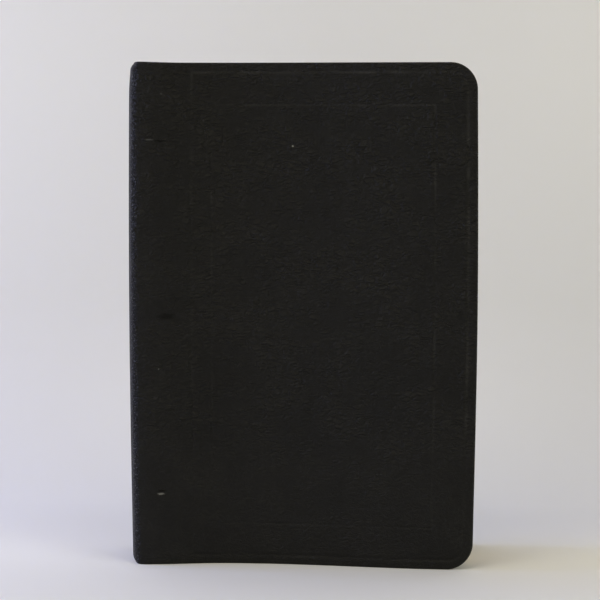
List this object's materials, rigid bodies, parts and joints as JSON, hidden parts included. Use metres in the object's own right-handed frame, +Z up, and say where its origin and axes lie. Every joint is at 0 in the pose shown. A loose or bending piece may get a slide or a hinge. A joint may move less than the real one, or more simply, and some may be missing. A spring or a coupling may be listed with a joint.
{
  "type": "limp leather bible",
  "caption": "Limp leather bible standing closed on its tail edge; both covers swing, the sewn text block opens between its quarters and the flyleaves lift.",
  "frame": {"origin": "bottom centre of the standing book, on the surface it stands on", "axes": "+Z up along the spine, +X from the spine to the fore-edge, the front cover faces -Y"},
  "size_m": [0.1446, 0.0496, 0.209],
  "materials": {
    "leather": "satin black grained leather",
    "card": "plain flexible card",
    "paper": "thin smooth paper with gilt edges",
    "endpaper": "plain black coated endpaper",
    "mull": "open starched cloth",
    "linen": "woven linen tape",
    "thread": "waxed linen thread",
    "band": "striped silk over a cord core"
  },
  "bodies": {
    "leaves_q1": {"spine_leather_q1": "leather", "spine_liner_q1": "card", "mull_q1": "mull", "sewing_tapes_q1": "linen", "sewing_thread_q1": "thread", "end_bands_q1": "band", "section_01": "paper", "section_02": "paper", "section_03": "paper", "section_04": "paper", "section_05": "paper", "section_06": "paper"},
    "leaves_q2": {"spine_leather_q2": "leather", "spine_liner_q2": "card", "mull_q2": "mull", "sewing_tapes_q2": "linen", "sewing_thread_q2": "thread", "end_bands_q2": "band", "section_07": "paper", "section_08": "paper", "section_09": "paper", "section_10": "paper", "section_11": "paper", "section_12": "paper"},
    "leaves_q3": {"spine_leather_q3": "leather", "spine_liner_q3": "card", "mull_q3": "mull", "sewing_tapes_q3": "linen", "sewing_thread_q3": "thread", "end_bands_q3": "band", "section_13": "paper", "section_14": "paper", "section_15": "paper", "section_16": "paper", "section_17": "paper", "section_18": "paper"},
    "leaves_q4": {"spine_leather_q4": "leather", "spine_liner_q4": "card", "mull_q4": "mull", "sewing_tapes_q4": "linen", "sewing_thread_q4": "thread", "end_bands_q4": "band", "section_19": "paper", "section_20": "paper", "section_21": "paper", "section_22": "paper", "section_23": "paper", "section_24": "paper"},
    "front_cover": {"front_cover_leather": "leather", "front_liner": "card", "front_tape_slips": "linen", "front_pastedown": "endpaper"},
    "front_flyleaf": {"front_flyleaf": "endpaper"},
    "back_cover": {"back_cover_leather": "leather", "back_liner": "card", "back_tape_slips": "linen", "back_pastedown": "endpaper"},
    "back_flyleaf": {"back_flyleaf": "endpaper"}
  },
  "joints": [
    {"name": "middle_opening", "type": "hinge", "parent": "leaves_q3", "child": "leaves_q2", "pos_m": [-0.07225, 0, 0.1045], "axis": [0, 0, -1], "range_deg": [0, 150]},
    {"name": "front_quarter_opening", "type": "hinge", "parent": "leaves_q2", "child": "leaves_q1", "pos_m": [-0.07189, -0.0066, 0.1045], "axis": [0, 0, 1], "range_deg": [-75, 0]},
    {"name": "back_quarter_opening", "type": "hinge", "parent": "leaves_q3", "child": "leaves_q4", "pos_m": [-0.07189, 0.0066, 0.1045], "axis": [0, 0, -1], "range_deg": [-75, 0]},
    {"name": "front_cover_hinge", "type": "hinge", "parent": "leaves_q1", "child": "front_cover", "pos_m": [-0.06525, -0.0193, 0.1045], "axis": [0, 0, -1], "range_deg": [0, 175]},
    {"name": "back_cover_hinge", "type": "hinge", "parent": "leaves_q4", "child": "back_cover", "pos_m": [-0.06525, 0.0193, 0.1045], "axis": [0, 0, -1], "range_deg": [-175, 0]},
    {"name": "front_flyleaf_turn", "type": "hinge", "parent": "leaves_q1", "child": "front_flyleaf", "pos_m": [-0.06325, -0.0132, 0.1045], "axis": [0, 0, -1], "range_deg": [0, 87.5]},
    {"name": "back_flyleaf_turn", "type": "hinge", "parent": "leaves_q4", "child": "back_flyleaf", "pos_m": [-0.06325, 0.0132, 0.1045], "axis": [0, 0, -1], "range_deg": [-87.5, 0]}
  ],
  "couplings": [
    {"joint": "front_flyleaf_turn", "follows": "front_cover_hinge", "ratio": 0.5},
    {"joint": "back_flyleaf_turn", "follows": "back_cover_hinge", "ratio": 0.5}
  ]
}
